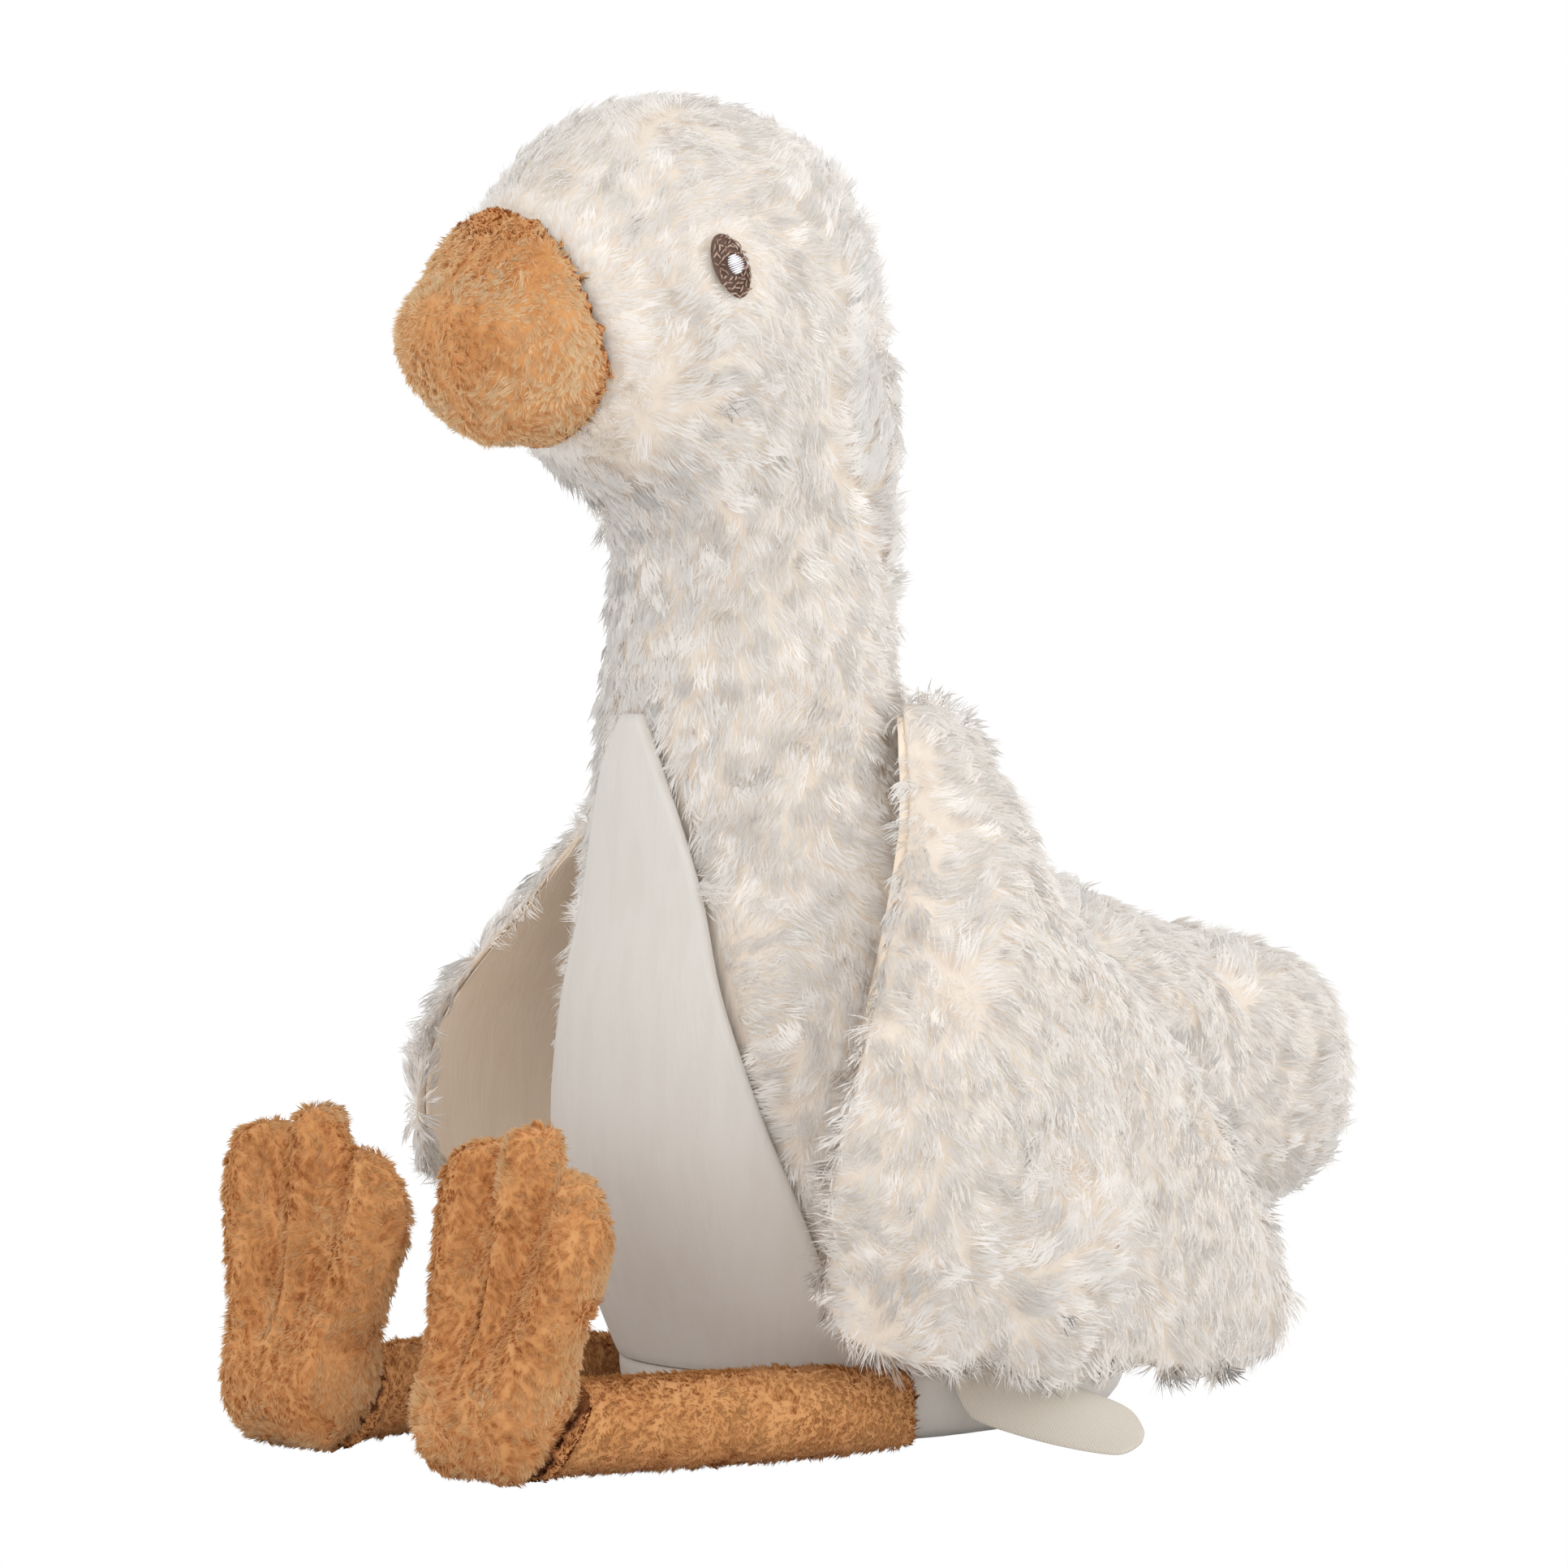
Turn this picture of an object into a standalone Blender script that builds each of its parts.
"""A sitting plush goose, about 0.24 m tall, built as it is sewn.

The goose sits on the XY plane and faces -Y, with +X on its left. The origin is the middle of the
flat underside. Lengths are metres and run to the outside of the pile. The torso is a stack of
egg-shaped sections. skin_point() gives its surface by height and by angle round it, and all that
is sewn to the torso is placed from there, so that a change of one size carries its neighbours.
"""

import math

import bmesh
import bpy
from mathutils import Vector

SEAM_GAP = 0.0003
PANEL_THICKNESS = 0.0022

BODY_HALF_WIDTH = 0.0460
BODY_FRONT = 0.0460
BODY_BACK = 0.0605
BODY_MIDDLE = 0.0050
BASE_SEAM_HEIGHT = 0.0130
BASE_ROUNDING = 0.0080
SHOULDER_HEIGHT = 0.1320

NECK_RADIUS = 0.0254
NECK_MIDDLE = -0.0120
CHIN_HEIGHT = 0.1585

HEAD_HALF_WIDTH = 0.0325
HEAD_FRONT = 0.0410
HEAD_BACK = 0.0432
HEAD_MIDDLE = -0.0335
HEAD_WIDEST_HEIGHT = 0.1975
CROWN_HEIGHT = 0.2340
CROWN_MIDDLE = -0.0310

TAIL_LENGTH = 0.1258
TAIL_ROOT = 0.0250
TAIL_HEIGHT = 0.0555
TAIL_HALF_WIDTH = 0.0285
TAIL_HALF_HEIGHT = 0.0300

BELLY_TOP_HEIGHT = 0.1260
BELLY_HALF_WIDTH = 0.0320

BEAK_HEIGHT = 0.1915
BEAK_LENGTH = 0.0140
BEAK_HALF_WIDTH = 0.0210
BEAK_HALF_HEIGHT = 0.0212
BEAK_SINK = 0.0120
BEAK_SEAM_RADIUS = 0.0007

EYE_ANGLE = 73.0
EYE_HEIGHT = 0.2020
EYE_HALF_WIDTH = 0.0037
EYE_HALF_HEIGHT = 0.0058
EYE_PROUD = 0.0013
EYE_TILT = 22.0
GLINT_RADIUS = 0.0016
GLINT_THICKNESS = 0.0005

WING_TOP_HEIGHT = 0.1302
WING_BOTTOM_HEIGHT = 0.0240
WING_THICKNESS = 0.0070
WING_ROOT_THICKNESS = 0.0035
WING_EDGE_THICKNESS = 0.0012
WING_EDGE_ROUNDING = 0.0070
WING_LINING = 0.0016
WING_LOBES = (0.0, 0.389, 0.722, 1.0)
WING_LOBE_DROP = 0.0052
WING_SHOULDER_DROP = 0.0070
WING_HEM_DROP = 0.0085
RIGHT_WING_LIFT = 0.0245
RIGHT_WING_TUCK = 0.35
RIGHT_WING_SPREAD = 1.12
WING_CHANNEL_WIDTH = 0.0050
WING_CHANNEL_DEPTH = 0.0042

LEG_HALF_WIDTH = 0.0093
LEG_HALF_HEIGHT = 0.0092
HIP_HALF_WIDTH = 0.0024
HIP_HALF_HEIGHT = 0.0076
HIP_Y = -0.0080
ANKLE_SHIFT = 0.0045

LEFT_FOOT_X = 0.0206
LEFT_FOOT_Y = -0.0910
RIGHT_FOOT_X = 0.0352
RIGHT_FOOT_Y = -0.0860
FOOT_HEIGHT = 0.0612
FOOT_HALF_WIDTH = 0.0208
HEEL_HALF_WIDTH = 0.0154
FOOT_SWEEP = 0.0050
FOOT_THICKNESS = 0.0145
FOOT_EDGE_ROUNDING = 0.0070
TOES = 3
TOE_PINCH = 0.35
TOE_MEETING = 0.42
TOE_RISE = 0.0038
MIDDLE_TOE_RISE = 0.0058
SIDE_TOE_DROP = 0.0080
TOE_GROOVE_WIDTH = 0.0068
TOE_GROOVE_DEPTH = 0.0085
LEFT_FOOT_LEAN = 8.0
RIGHT_FOOT_LEAN = 1.5
RIGHT_FOOT_TWIST = 10.0

LABEL_LENGTH = 0.0330
LABEL_WIDTH = 0.0118
LABEL_THICKNESS = 0.0009
LABEL_ANGLE = 81.5
LABEL_HEIGHT = 0.0125
LABEL_SWING = 54.0
LABEL_DROOP = 0.0095
LABEL_TWIST = 62.0
LABEL_CORNER = 0.0045

# Facets along and round each form
TORSO_ROUND = 32
BELLY_ROUND = 10
TORSO_STEP = 0.0062
CROWN_RINGS = 6
TAIL_ROUND = 26
BEAK_ROUND = 24
LEG_ROUND = 16
WING_ROWS = 14
WING_COLUMNS = 18
FOOT_ROWS = 14
FOOT_COLUMNS = 18

# The body from the base seam, 0, to the shoulder, 1. Each row holds a height and then how far the
# half width, the front, the back and the middle line have gone: for the first three 0 is the
# neck's and 1 the body's, and for the middle line 0 is the body's and 1 the neck's.
BODY_FORM = (
    (0.000, 0.58, 0.50, 1.12, 0.00),
    (0.081, 0.73, 0.66, 1.12, 0.05),
    (0.200, 0.88, 0.88, 1.06, 0.11),
    (0.319, 1.00, 1.00, 0.97, 0.16),
    (0.437, 0.98, 1.00, 0.90, 0.17),
    (0.558, 0.88, 0.95, 0.80, 0.20),
    (0.677, 0.65, 0.76, 0.68, 0.32),
    (0.798, 0.36, 0.57, 0.44, 0.56),
    (0.899, 0.15, 0.35, 0.16, 0.83),
    (1.000, 0.03, 0.10, 0.02, 1.00),
)
# The head from the chin, 0, to its widest height, 1, in the same five columns.
HEAD_FORM = (
    (0.00, 0.00, 0.05, 0.05, 0.00),
    (0.14, 0.11, 0.37, 0.19, 0.12),
    (0.28, 0.30, 0.85, 0.39, 0.26),
    (0.49, 0.62, 0.94, 0.67, 0.50),
    (0.77, 0.94, 0.87, 1.00, 0.86),
    (1.00, 1.00, 0.92, 1.00, 1.00),
)
# The belly panel from the base seam, 0, to its top, 1, and the share of its half width.
BELLY_FORM = (
    (0.00, 1.00),
    (0.28, 0.96),
    (0.44, 0.80),
    (0.60, 0.60),
    (0.80, 0.38),
    (0.93, 0.20),
    (1.00, 0.06),
)
# The beak from the head, 0, to its tip, 1: shares of the half width, and of the half height above
# and below its middle line.
BEAK_FORM = (
    (0.00, 1.00, 1.00, 0.96),
    (0.30, 0.90, 0.66, 0.82),
    (0.60, 0.78, 0.46, 0.62),
    (0.82, 0.61, 0.35, 0.44),
    (0.95, 0.41, 0.25, 0.27),
)
# The tail from its root, 0, to its end, 1: shares of the half width, the half height and the rise.
TAIL_FORM = (
    (0.00, 1.00, 1.32, 0.37),
    (0.25, 1.01, 1.22, 0.26),
    (0.45, 1.02, 1.06, 0.13),
    (0.68, 1.00, 0.94, 0.04),
    (0.86, 0.88, 0.82, 0.06),
    (0.96, 0.60, 0.57, 0.08),
)
# The wing from the shoulder, 0, to its lower edge, 1: the angles round the torso of its front and
# rear edges, and how far its front edge, middle and rear edge stand off the torso.
WING_FORM = (
    (0.00, 106.0, 152.0, 0.0003, 0.0003, 0.0045),
    (0.15, 87.0, 124.0, 0.0030, 0.0032, 0.0030),
    (0.32, 68.5, 110.0, 0.0065, 0.0060, 0.0040),
    (0.48, 58.0, 115.0, 0.0120, 0.0095, 0.0105),
    (0.68, 51.0, 120.0, 0.0185, 0.0130, 0.0200),
    (0.83, 48.5, 121.0, 0.0200, 0.0150, 0.0280),
    (1.00, 47.0, 121.0, 0.0200, 0.0165, 0.0350),
)
# The leg from the hip, 0, to the foot, 1: shares from the hip's section to the leg's.
LEG_FORM = ((0.00, 0.00), (0.10, 0.35), (0.28, 0.85), (0.50, 1.00), (1.00, 1.00))
# The foot from the heel's underside, 0, to the toes' tips, 1: shares from the heel's half width to
# the toes', and of the thickness.
FOOT_FORM = (
    (0.00, -1.00, 0.75),
    (0.10, -0.22, 1.10),
    (0.24, 0.00, 1.42),
    (0.42, 0.16, 1.15),
    (0.62, 0.64, 1.00),
    (0.85, 1.00, 0.97),
    (1.00, 0.94, 0.90),
)

CREAM_PLUSH = (0.83, 0.75, 0.66, 1.0)
CREAM_VELOUR = (0.80, 0.74, 0.67, 1.0)
ORANGE_PLUSH = (0.68, 0.33, 0.11, 1.0)
BROWN_THREAD = (0.16, 0.09, 0.06, 1.0)
WHITE_THREAD = (0.85, 0.85, 0.88, 1.0)
CREAM_RIBBON = (0.72, 0.68, 0.60, 1.0)


def mix(a, b, share):
    """The value that lies a share of the way from a to b."""
    return a + (b - a) * share


def follow(form, at):
    """The values of a form's columns at a place, on a smooth curve through its rows."""
    at = min(max(at, form[0][0]), form[-1][0])
    last = len(form) - 2
    i = next(k for k in range(len(form) - 1) if at <= form[k + 1][0] or k == last)
    before, low, high, after = form[max(i - 1, 0)], form[i], form[i + 1], form[min(i + 2, last + 1)]
    width = high[0] - low[0]
    t = (at - low[0]) / width
    values = []
    for column in range(1, len(low)):
        rise = high[column] - low[column]
        slope_in = (high[column] - before[column]) / (high[0] - before[0]) * width if i else rise
        slope_out = (after[column] - low[column]) / (after[0] - low[0]) * width if i < last else rise
        values.append(
            low[column] * (2 * t**3 - 3 * t**2 + 1)
            + slope_in * (t**3 - 2 * t**2 + t)
            + high[column] * (3 * t**2 - 2 * t**3)
            + slope_out * (t**3 - t**2)
        )
    return values


def section(height):
    """(middle, half width, front, back) of the torso's egg-shaped section at a height."""
    if height < SHOULDER_HEIGHT:
        share = (height - BASE_SEAM_HEIGHT) / (SHOULDER_HEIGHT - BASE_SEAM_HEIGHT)
        wide, front, back, lean = follow(BODY_FORM, share)
        values = [
            mix(BODY_MIDDLE, NECK_MIDDLE, lean),
            mix(NECK_RADIUS, BODY_HALF_WIDTH, wide),
            mix(NECK_RADIUS, BODY_FRONT, front),
            mix(NECK_RADIUS, BODY_BACK, back),
        ]
        if height < BASE_SEAM_HEIGHT:
            turned = 1 - height / BASE_SEAM_HEIGHT
            tuck = BASE_ROUNDING * (1 - math.sqrt(max(0.0, 1 - turned**2)))
            values[1:] = [value - tuck for value in values[1:]]
        return values
    share = (height - CHIN_HEIGHT) / (HEAD_WIDEST_HEIGHT - CHIN_HEIGHT)
    wide, front, back, lean = follow(HEAD_FORM, share)
    if share <= 0:
        slack = (height - SHOULDER_HEIGHT) / (CHIN_HEIGHT - SHOULDER_HEIGHT)
        body, head = BODY_FORM[-1], HEAD_FORM[0]
        return [
            NECK_MIDDLE,
            NECK_RADIUS + mix(body[1] * (BODY_HALF_WIDTH - NECK_RADIUS), 0.0, slack),
            NECK_RADIUS
            + mix(body[2] * (BODY_FRONT - NECK_RADIUS), head[2] * (HEAD_FRONT - NECK_RADIUS), slack),
            NECK_RADIUS
            + mix(body[3] * (BODY_BACK - NECK_RADIUS), head[3] * (HEAD_BACK - NECK_RADIUS), slack),
        ]
    values = [
        mix(NECK_MIDDLE, HEAD_MIDDLE, lean),
        mix(NECK_RADIUS, HEAD_HALF_WIDTH, wide),
        mix(NECK_RADIUS, HEAD_FRONT, front),
        mix(NECK_RADIUS, HEAD_BACK, back),
    ]
    if height > HEAD_WIDEST_HEIGHT:
        rise = (height - HEAD_WIDEST_HEIGHT) / (CROWN_HEIGHT - HEAD_WIDEST_HEIGHT)
        closing = math.sqrt(max(0.0, 1 - rise**2))
        values = [mix(values[0], CROWN_MIDDLE, rise)] + [value * closing for value in values[1:]]
    return values


def skin_point(angle, height, outward=0.0):
    """A point on the torso at an angle from the front, in degrees towards +X, moved outward."""
    middle, wide, front, back = section(height)
    turn = math.radians(angle)
    depth = front if math.cos(turn) > 0 else back
    return Vector(
        (
            (wide + outward) * math.sin(turn),
            middle - (depth + outward) * math.cos(turn),
            height,
        )
    )


def skin_normal(angle, height):
    """The direction that faces away from the torso there."""
    step = 0.5
    lift = 0.0005
    across = skin_point(angle + step, height) - skin_point(angle - step, height)
    up = skin_point(angle, height + lift) - skin_point(angle, height - lift)
    return across.cross(up).normalized()


def belly_angle(height, margin=0.0):
    """Half the angle that the belly panel spans at a height, grown by a margin."""
    share = (height - BASE_SEAM_HEIGHT) / (BELLY_TOP_HEIGHT - BASE_SEAM_HEIGHT)
    half = BELLY_HALF_WIDTH * follow(BELLY_FORM, share)[0] + margin
    return math.degrees(math.asin(min(0.95, half / section(height)[1])))


def make_material(name, colour, roughness):
    """A fabric or thread of one colour."""
    material = bpy.data.materials.new(name)
    material.use_nodes = True
    shader = material.node_tree.nodes["Principled BSDF"]
    shader.inputs["Base Color"].default_value = colour
    shader.inputs["Roughness"].default_value = roughness
    shader.inputs["Metallic"].default_value = 0.0
    return material


def make_object(name, mesh, material):
    """An object in the scene, shaded smooth."""
    thing = bpy.data.objects.new(name, mesh)
    bpy.context.scene.collection.objects.link(thing)
    mesh.shade_smooth()
    mesh.set_sharp_from_angle(angle=math.radians(50))
    if material:
        mesh.materials.append(material)
    return thing


def make_cutter(name, mesh):
    """A helper that only cuts other objects."""
    cutter = make_object(name, mesh, None)
    cutter.hide_render = True
    cutter.display_type = "WIRE"
    return cutter


def apply_boolean(thing, other, operation):
    """Adds an exact Boolean with another object."""
    step = thing.modifiers.new(operation.lower(), "BOOLEAN")
    step.operation = operation
    step.solver = "EXACT"
    step.object = other


def loft(name, rings):
    """A closed mesh through rings of equally many points, its ends capped at their middles."""
    shape = bmesh.new()
    rows = [[shape.verts.new(point) for point in ring] for ring in rings]
    for low, high in zip(rows, rows[1:]):
        for i in range(len(low)):
            j = (i + 1) % len(low)
            shape.faces.new((low[i], low[j], high[j], high[i]))
    for row in (rows[0][::-1], rows[-1]):
        middle = shape.verts.new(sum((vertex.co for vertex in row), Vector()) / len(row))
        for i, vertex in enumerate(row):
            shape.faces.new((vertex, row[(i + 1) % len(row)], middle))
    return finish_mesh(shape, name)


def finish_mesh(shape, name):
    """Merges points that coincide, faces the surface outward and stores it as a mesh."""
    bmesh.ops.remove_doubles(shape, verts=shape.verts, dist=1e-6)
    bmesh.ops.recalc_face_normals(shape, faces=shape.faces)
    mesh = bpy.data.meshes.new(name)
    shape.to_mesh(mesh)
    shape.free()
    return mesh


def pillow(name, place, rows, columns):
    """A closed mesh between two faces of a patch. place(row, column, side) gives its points, for
    row and column from 0 to 1 and side 0 on the inner face and 1 on the outer one."""
    shape = bmesh.new()
    faces = []
    for side in (0, 1):
        faces.append(
            [
                [shape.verts.new(place(i / rows, j / columns, side)) for j in range(columns + 1)]
                for i in range(rows + 1)
            ]
        )
    for grid in faces:
        for low, high in zip(grid, grid[1:]):
            for j in range(columns):
                shape.faces.new((low[j], low[j + 1], high[j + 1], high[j]))
    inner, outer = faces
    for j in range(columns):
        for i in (0, rows):
            shape.faces.new((inner[i][j], inner[i][j + 1], outer[i][j + 1], outer[i][j]))
    for i in range(rows):
        for j in (0, columns):
            shape.faces.new((inner[i][j], inner[i + 1][j], outer[i + 1][j], outer[i][j]))
    return finish_mesh(shape, name)


def steps_between(low, high, step):
    """Heights from low to high, evenly spaced and about a step apart."""
    count = max(1, round(abs(high - low) / step))
    return [mix(low, high, i / count) for i in range(count + 1)]


def crown_heights():
    """Heights from the head's widest section to just under the crown, closer as it flattens."""
    rise = CROWN_HEIGHT - HEAD_WIDEST_HEIGHT
    turns = [math.radians(84 * (i + 1) / CROWN_RINGS) for i in range(CROWN_RINGS)]
    return [HEAD_WIDEST_HEIGHT + rise * math.sin(turn) for turn in turns]


def torso_ring(height, margin, outward, belly_outward):
    """One ring of the torso: round the back first, then across the belly panel's seat."""
    edge = belly_angle(height, margin)
    back = [mix(edge, 360 - edge, i / TORSO_ROUND) for i in range(TORSO_ROUND + 1)]
    seat = [mix(360 - edge, 360 + edge, i / BELLY_ROUND) for i in range(BELLY_ROUND + 1)]
    return [skin_point(angle, height, outward) for angle in back] + [
        skin_point(angle, height, belly_outward) for angle in seat
    ]


def build_torso(material):
    """The head, neck, body and tail: one long-pile bag with seats for the belly and base panels."""
    seat = -(PANEL_THICKNESS + 2 * SEAM_GAP)
    ledge = BASE_SEAM_HEIGHT + SEAM_GAP
    belly_end = BELLY_TOP_HEIGHT + SEAM_GAP
    rings = [
        torso_ring(height, SEAM_GAP, seat, seat)
        for height in steps_between(-seat, ledge, TORSO_STEP / 2)
    ]
    rings += [
        torso_ring(height, SEAM_GAP, 0.0, seat)
        for height in steps_between(ledge, belly_end, TORSO_STEP)
    ]
    rings += [
        torso_ring(height, SEAM_GAP, 0.0, 0.0)
        for height in steps_between(belly_end, HEAD_WIDEST_HEIGHT, TORSO_STEP)
    ]
    rings += [torso_ring(height, SEAM_GAP, 0.0, 0.0) for height in crown_heights()]
    torso = make_object("torso", loft("torso", rings), material)
    apply_boolean(torso, make_cutter("tail_form", loft("tail_form", tail_rings())), "UNION")
    return torso


def tail_rings():
    """Rings of the tail, from inside the rump to its rounded end."""
    rings = []
    for share in (0.0, 0.2, 0.4, 0.54, 0.68, 0.78, 0.86, 0.92, 0.96, 0.99):
        wide, tall, rise = follow(TAIL_FORM, share)
        if share > TAIL_FORM[-1][0]:
            wide, tall = wide * 0.5, tall * 0.5
        middle = Vector(
            (0.0, mix(TAIL_ROOT, TAIL_LENGTH, share), TAIL_HEIGHT + rise * TAIL_HALF_HEIGHT)
        )
        ring = []
        for i in range(TAIL_ROUND):
            turn = math.tau * i / TAIL_ROUND
            across = math.copysign(abs(math.cos(turn)) ** 0.85, math.cos(turn))
            up = math.copysign(abs(math.sin(turn)) ** 0.85, math.sin(turn))
            reach = Vector((across * wide * TAIL_HALF_WIDTH, 0.0, up * tall * TAIL_HALF_HEIGHT))
            ring.append(middle + reach)
        rings.append(ring)
    return rings


def torso_clearance():
    """The torso's outside, grown by the seam gap, which trims what is sewn against it."""
    heights = steps_between(0.0, HEAD_WIDEST_HEIGHT, TORSO_STEP / 2) + crown_heights()
    rings = [
        [skin_point(360 * i / 96, height, SEAM_GAP) for i in range(96)] for height in heights
    ]
    return make_cutter("torso_clearance", loft("torso_clearance", rings))


def build_belly_panel(material):
    """The short-pile panel on the breast and belly, let into its seat in the torso."""
    low = BASE_SEAM_HEIGHT + 2 * SEAM_GAP
    rows = round((BELLY_TOP_HEIGHT - low) / TORSO_STEP)

    def place(row, column, side):
        height = mix(low, BELLY_TOP_HEIGHT, row)
        edge = belly_angle(height)
        return skin_point(mix(-edge, edge, column), height, -PANEL_THICKNESS * (1 - side))

    return make_object("belly_panel", pillow("belly_panel", place, rows, BELLY_ROUND), material)


def build_base_panel(material):
    """The short-pile dish under the goose, with the flat underside that it sits on."""
    deep = -PANEL_THICKNESS
    outside = steps_between(0.0, BASE_SEAM_HEIGHT, TORSO_STEP / 2)
    inside = steps_between(BASE_SEAM_HEIGHT, PANEL_THICKNESS, TORSO_STEP / 2)
    rings = [torso_ring(height, SEAM_GAP, 0.0, 0.0) for height in outside]
    rings += [torso_ring(height, SEAM_GAP, deep, deep) for height in inside]
    return make_object("base_panel", loft("base_panel", rings), material)


def head_front(height):
    """The front of the head at a height, as a Y."""
    return skin_point(0.0, height).y


def beak_profile(share):
    """(Y, half width, top, bottom) of the beak at a share of its length from the head."""
    wide, above, below = follow(BEAK_FORM, share)
    return (
        head_front(BEAK_HEIGHT) - share * BEAK_LENGTH,
        wide * BEAK_HALF_WIDTH,
        BEAK_HEIGHT + above * BEAK_HALF_HEIGHT,
        BEAK_HEIGHT - below * BEAK_HALF_HEIGHT,
    )


def build_beak(material, clearance):
    """The stuffed beak, its back trimmed to the head, with the seam of its two side panels."""
    rings = []
    for share in (-1.0, 0.0, 0.15, 0.3, 0.45, 0.6, 0.72, 0.82, 0.9, 0.95):
        y, wide, top, bottom = beak_profile(max(share, 0.0))
        if share < 0:
            y += BEAK_SINK
        middle, tall = (top + bottom) / 2, (top - bottom) / 2
        rings.append(
            [
                Vector(
                    (
                        wide * math.sin(math.tau * i / BEAK_ROUND),
                        y,
                        middle - tall * math.cos(math.tau * i / BEAK_ROUND),
                    )
                )
                for i in range(BEAK_ROUND)
            ]
        )
    tip = beak_profile(1.0)
    last_y, last_wide, last_top, last_bottom = beak_profile(0.95)
    middle = (last_top + last_bottom) / 2
    half = (last_top - last_bottom) / 2
    rings.append(
        [
            Vector(
                (
                    0.55 * last_wide * math.sin(math.tau * i / BEAK_ROUND),
                    mix(last_y, tip[0], 0.8),
                    middle - 0.55 * half * math.cos(math.tau * i / BEAK_ROUND),
                )
            )
            for i in range(BEAK_ROUND)
        ]
    )
    beak = make_object("beak", loft("beak", rings), material)
    apply_boolean(beak, clearance, "DIFFERENCE")
    apply_boolean(beak, beak_seam(middle), "DIFFERENCE")
    return beak


def beak_seam(tip_height):
    """A thin rod that follows the front of the beak from above its tip to its underside."""
    line = [Vector((0.0, y, top)) for y, _, top, _ in map(beak_profile, (0.82, 0.95))]
    line.append(Vector((0.0, beak_profile(1.0)[0] + BEAK_SEAM_RADIUS, tip_height)))
    line += [Vector((0.0, y, low)) for y, _, _, low in map(beak_profile, (0.95, 0.82, 0.6, 0.3, 0.1))]
    rings = []
    for i, point in enumerate(line):
        ahead = line[min(i + 1, len(line) - 1)] - line[max(i - 1, 0)]
        side = Vector((1.0, 0.0, 0.0))
        up = side.cross(ahead).normalized()
        rings.append(
            [
                point + BEAK_SEAM_RADIUS * (side * math.cos(turn) + up * math.sin(turn))
                for turn in (math.tau * k / 8 for k in range(8))
            ]
        )
    return make_cutter("beak_seam", loft("beak_seam", rings))


def eye_axes(side):
    """(middle, outward, wide, tall) of an eye on the head's skin; side is 1 left and -1 right."""
    middle = skin_point(side * EYE_ANGLE, EYE_HEIGHT)
    outward = skin_normal(side * EYE_ANGLE, EYE_HEIGHT)
    level = Vector((0.0, 0.0, 1.0)).cross(outward).normalized() * side
    up = outward.cross(level) * side
    tilt = math.radians(EYE_TILT)
    return (
        middle,
        outward,
        level * math.cos(tilt) + up * math.sin(tilt),
        up * math.cos(tilt) - level * math.sin(tilt),
    )


def build_eye(side, name, thread, white, clearance):
    """An embroidered oval with a round white glint on it."""
    middle, outward, wide, tall = eye_axes(side)

    def dome(half_wide, half_tall, height, start):
        rings = []
        for rise in (0.0, 0.35, 0.65, 0.88, 0.98):
            spread = math.sqrt(1 - rise**2)
            rings.append(
                [
                    middle
                    + outward * (start + height * rise)
                    + wide * half_wide * spread * math.cos(math.tau * i / 18)
                    + tall * half_tall * spread * math.sin(math.tau * i / 18)
                    for i in range(18)
                ]
            )
        return rings

    sunk = dome(EYE_HALF_WIDTH, EYE_HALF_HEIGHT, EYE_PROUD, 0.0)
    below = [point - outward * EYE_PROUD for point in sunk[0]]
    eye = make_object(name, loft(name, [below] + sunk), thread)
    apply_boolean(eye, clearance, "DIFFERENCE")
    glint = name + "_highlight"
    rings = dome(GLINT_RADIUS, GLINT_RADIUS, GLINT_THICKNESS, EYE_PROUD + SEAM_GAP)
    make_object(glint, loft(glint, rings), white)


def rounded(distance, radius):
    """The share of its full thickness that a puffed edge has at a distance from its rim."""
    inside = min(max(distance / radius, 0.0), 1.0)
    return math.sqrt(1 - (1 - inside) ** 2)


def lobe(column, notches):
    """0 at the notches between the lobes of an edge and 1 at their tips."""
    for low, high in zip(notches, notches[1:]):
        if low < column < high:
            across = 2 * (column - low) / (high - low) - 1
            return math.sqrt(1 - across**2)
    return 0.0


def wing_patch(side, row, column):
    """(angle, height, stand-off) of the wing's inner face."""
    front, rear, off_front, off_middle, off_rear = follow(WING_FORM, row)
    drop = WING_LOBE_DROP * lobe(column, WING_LOBES) * max(0.0, (row - 0.75) / 0.25) ** 2
    drop += WING_SHOULDER_DROP * column**3 * (1 - row) ** 4
    drop += WING_HEM_DROP * math.sin(2.2 * column) * row**3
    height = mix(WING_TOP_HEIGHT, WING_BOTTOM_HEIGHT, row) - drop
    edge = (off_front, off_rear)[column > 0.5]
    off = mix(off_middle, edge, (2 * column - 1) ** 2)
    if side < 0:
        height += RIGHT_WING_LIFT * row
        share = mix(RIGHT_WING_TUCK, RIGHT_WING_SPREAD, min(1.0, row / 0.75))
        off = SEAM_GAP + (off - SEAM_GAP) * share
    return mix(front, rear, column), height, off


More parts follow.
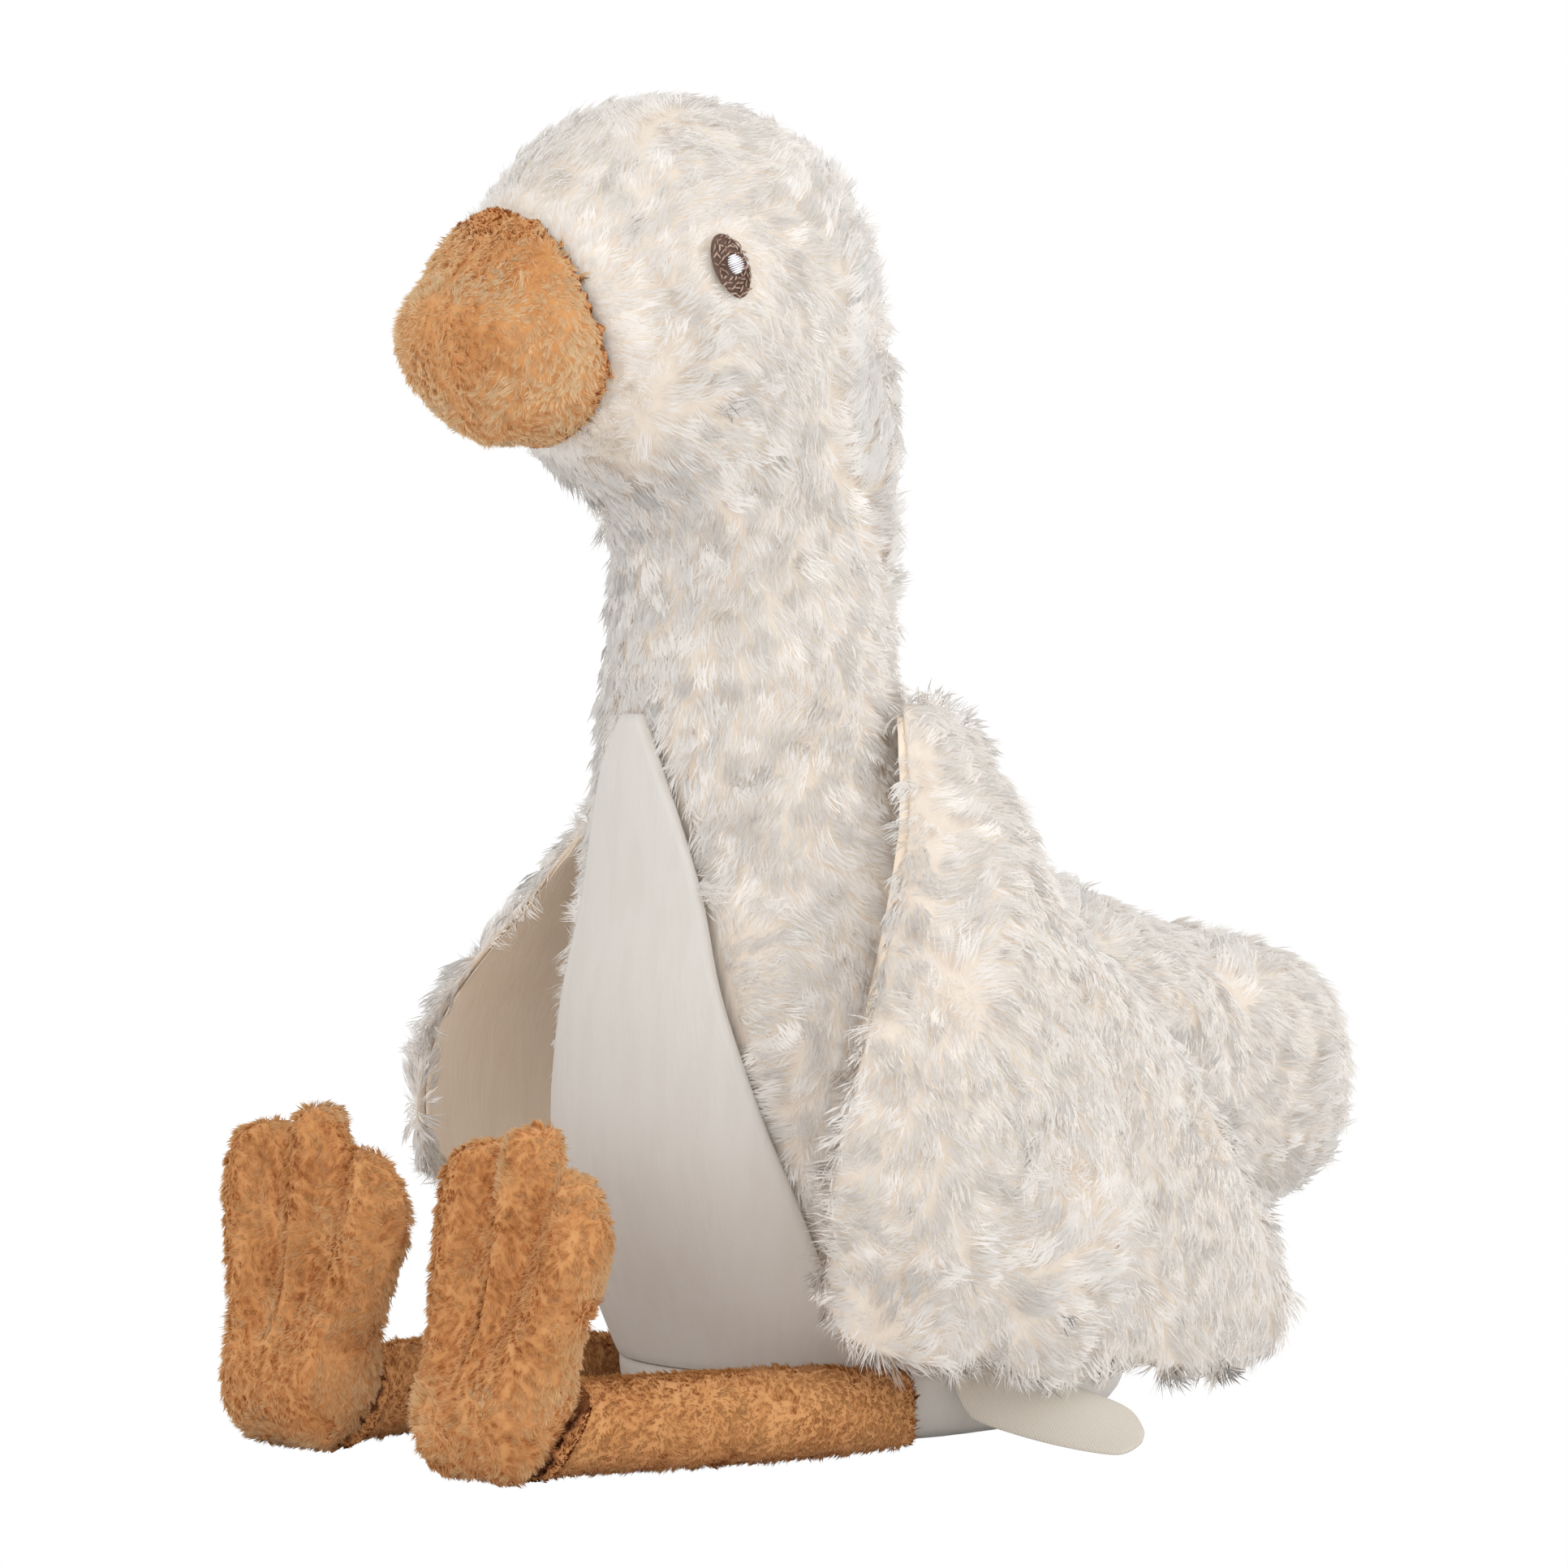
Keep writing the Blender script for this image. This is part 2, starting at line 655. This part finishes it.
def wing_thickness(row, column):
    """How thick the wing's long-pile layer is: puffed, and drawn in along its stitched channels."""
    long_side = WING_TOP_HEIGHT - WING_BOTTOM_HEIGHT
    low, high = skin_angles(row)
    chord = abs(high - low)
    full = mix(WING_ROOT_THICKNESS, WING_THICKNESS, min(1.0, row / 0.2))
    reach = min(column * chord, (1 - column) * chord, (1 - row) * long_side)
    thick = mix(WING_EDGE_THICKNESS, full, rounded(reach, WING_EDGE_ROUNDING))
    drawn = 0.0
    for notch in WING_LOBES[1:-1]:
        away = (column - notch) * chord / WING_CHANNEL_WIDTH
        drawn = max(drawn, math.exp(-((2 * away) ** 2)))
    fade = min(1.0, max(0.0, (row - 0.30) / 0.2))
    return max(WING_EDGE_THICKNESS, thick - WING_CHANNEL_DEPTH * drawn * fade)


def skin_angles(row):
    """The wing's front and rear edges at a row, as lengths along its chord."""
    front, rear, off_front, _, off_rear = follow(WING_FORM, row)
    height = mix(WING_TOP_HEIGHT, WING_BOTTOM_HEIGHT, row)
    span = (skin_point(rear, height, off_rear) - skin_point(front, height, off_front)).length
    return 0.0, span


def build_wing(side, name, plush, lining):
    """A wing: a long-pile outer layer over a short-pile lining, sewn on at the shoulder."""

    def inner(row, column, face):
        angle, height, off = wing_patch(side, row, column)
        return skin_point(side * angle, height, off + WING_LINING * face)

    def outer(row, column, face):
        angle, height, off = wing_patch(side, row, column)
        off += WING_LINING + SEAM_GAP + wing_thickness(row, column) * face
        return skin_point(side * angle, height, off)

    make_object(name, pillow(name, outer, WING_ROWS, WING_COLUMNS), plush)
    back = name + "_lining"
    make_object(back, pillow(back, inner, WING_ROWS, WING_COLUMNS), lining)


def foot_lean(side):
    """How far a foot leans back, as a slope."""
    return math.tan(math.radians(LEFT_FOOT_LEAN if side > 0 else RIGHT_FOOT_LEAN))


def foot_spot(side):
    """(distance from the middle plane, Y) of a foot's middle at the floor."""
    return (LEFT_FOOT_X, LEFT_FOOT_Y) if side > 0 else (RIGHT_FOOT_X, RIGHT_FOOT_Y)


def toe_notches(row):
    """Where the toes meet across the foot at a row: in thirds at the tips, drawn together below."""
    grown = min(1.0, max(0.0, (row - 0.2) / 0.6))
    pinch = mix(TOE_PINCH, 1.0, grown)
    inner = [mix(TOE_MEETING, k / TOES, pinch) for k in range(1, TOES)]
    return [0.0] + inner + [1.0]


def foot_place(side, row, column, face, grow=0.0):
    """A point of the foot: face 0 is its back, towards the leg, and face 1 its sole."""
    spread, thick = follow(FOOT_FORM, row)
    half = mix(HEEL_HALF_WIDTH, FOOT_HALF_WIDTH, spread)
    notches = toe_notches(row)
    toe = min(int(column * TOES + 1e-6), TOES - 1)
    place = mix(notches[toe], notches[toe + 1], column * TOES - toe)
    rise = TOE_RISE * lobe(place, notches) * max(0.0, (row - 0.7) / 0.3) ** 2
    rise += MIDDLE_TOE_RISE * (1 - abs(2 * place - 1)) * row
    rise -= SIDE_TOE_DROP * max(0.0, 2 * place - 1) * row**2
    height = SEAM_GAP + row * (FOOT_HEIGHT - TOE_RISE - MIDDLE_TOE_RISE) + rise
    reach = min(place * 2 * half, (1 - place) * 2 * half, height, (1 - row) * FOOT_HEIGHT + rise)
    full = thick * FOOT_THICKNESS
    puff = full * mix(0.12, 1.0, rounded(reach, FOOT_EDGE_ROUNDING))
    drawn = 0.0
    for notch in notches[1:-1]:
        off = (place - notch) * 2 * half / TOE_GROOVE_WIDTH
        drawn = max(drawn, math.exp(-((2 * off) ** 2)))
    fade = min(1.0, max(0.0, (row - 0.3) / 0.2))
    puff -= TOE_GROOVE_DEPTH * drawn * fade * (puff / full)
    across = half * (2 * place - 1) + FOOT_SWEEP * row
    deep = (puff / 2 + grow) * (1 - 2 * face)
    twist = math.radians(0.0 if side > 0 else RIGHT_FOOT_TWIST * row)
    away, middle = foot_spot(side)
    x = side * away + across * math.cos(twist) - deep * math.sin(twist)
    y = middle + foot_lean(side) * height + across * math.sin(twist) + deep * math.cos(twist)
    return Vector((x, y, height))


def build_foot(side, name, material):
    """A webbed foot: a puffed paddle with three toes, drawn in along the grooves between them."""

    def place(row, column, face):
        return foot_place(side, row, column, face)

    return make_object(name, pillow(name, place, FOOT_ROWS, FOOT_COLUMNS), material)


def flank(y, height):
    """How far the torso or its base reaches sideways at a Y and a height."""
    middle, wide, front, _ = section(height)
    inside = 1 - ((y - middle) / front) ** 2
    return wide * math.sqrt(inside) if inside > 0 else 0.0


def leg_ring(side, share):
    """One ring of a leg, which lies against the torso's flank with a seam gap to spare."""
    grown = follow(LEG_FORM, share)[0]
    wide = mix(HIP_HALF_WIDTH, LEG_HALF_WIDTH, grown)
    tall = mix(HIP_HALF_HEIGHT, LEG_HALF_HEIGHT, grown)
    turns = [math.tau * i / LEG_ROUND for i in range(LEG_ROUND)]
    heights = [SEAM_GAP + tall + tall * math.sin(turn) for turn in turns]
    foot_x, foot_y = foot_spot(side)

    def against_flank(y):
        return SEAM_GAP + max(
            flank(y, height) - wide * math.cos(turn) for turn, height in zip(turns, heights)
        )

    y = mix(HIP_Y, foot_y, share)
    ankle_x = foot_x + side * ANKLE_SHIFT
    x = max(mix(against_flank(HIP_Y), ankle_x, share), against_flank(y))
    return [
        Vector((side * (x + wide * math.cos(turn)), y, height))
        for turn, height in zip(turns, heights)
    ]


def build_leg(side, name, material):
    """A stuffed leg: pinched flat where it is sewn to the flank, and round to the foot."""
    shares = (0.0, 0.05, 0.1, 0.17, 0.24, 0.32, 0.4, 0.5, 0.6, 0.7, 0.8, 0.9, 1.0)
    leg = make_object(name, loft(name, [leg_ring(side, share) for share in shares]), material)

    def grown_foot(row, column, face):
        return foot_place(side, row, column, face, SEAM_GAP)

    cutter = name + "_foot_clearance"
    shape = pillow(cutter, grown_foot, FOOT_ROWS, FOOT_COLUMNS)
    apply_boolean(leg, make_cutter(cutter, shape), "DIFFERENCE")
    return leg


def build_label(material):
    """The blank ribbon tab in the base seam, which swings out and settles towards the floor."""
    seat = skin_point(LABEL_ANGLE, LABEL_HEIGHT + LABEL_WIDTH / 2, 2 * SEAM_GAP)
    seat.z = LABEL_HEIGHT
    swing = math.radians(LABEL_SWING)
    along = Vector((math.sin(swing), math.cos(swing), 0.0))
    facing = Vector((along.y, -along.x, 0.0))

    def place(row, column, side):
        across = 2 * column - 1
        run = row * LABEL_LENGTH
        short = min(run, LABEL_LENGTH - run) if across < 0 else LABEL_LENGTH - run
        corner = min(short / LABEL_CORNER, 1.0)
        narrowed = 1 - (1 - math.sqrt(1 - (1 - corner) ** 2)) * 2 * LABEL_CORNER / LABEL_WIDTH
        twist = math.radians(LABEL_TWIST) * row**1.5
        upward = Vector((0.0, 0.0, 1.0)) * math.cos(twist) - facing * math.sin(twist)
        outward = facing * math.cos(twist) + Vector((0.0, 0.0, 1.0)) * math.sin(twist)
        middle = seat + along * run - Vector((0.0, 0.0, LABEL_DROOP)) * row**0.9
        return (
            middle
            + upward * across * narrowed * LABEL_WIDTH / 2
            + outward * (side * LABEL_THICKNESS)
        )

    return make_object("label", pillow("label", place, 16, 6), material)


def main():
    """Clears the scene and builds the goose."""
    for thing in list(bpy.data.objects):
        bpy.data.objects.remove(thing)
    cream_plush = make_material("cream_plush", CREAM_PLUSH, 0.95)
    cream_velour = make_material("cream_velour", CREAM_VELOUR, 0.9)
    orange_plush = make_material("orange_plush", ORANGE_PLUSH, 0.9)
    brown_thread = make_material("brown_thread", BROWN_THREAD, 0.6)
    white_thread = make_material("white_thread", WHITE_THREAD, 0.5)
    cream_ribbon = make_material("cream_ribbon", CREAM_RIBBON, 0.55)
    clearance = torso_clearance()
    build_torso(cream_plush)
    build_belly_panel(cream_velour)
    build_base_panel(cream_velour)
    build_beak(orange_plush, clearance)
    for side, hand in ((1, "left"), (-1, "right")):
        build_eye(side, "eye_" + hand, brown_thread, white_thread, clearance)
        build_wing(side, "wing_" + hand, cream_plush, cream_velour)
        build_leg(side, "leg_" + hand, orange_plush)
        build_foot(side, "foot_" + hand, orange_plush)
    build_label(cream_ribbon)


main()
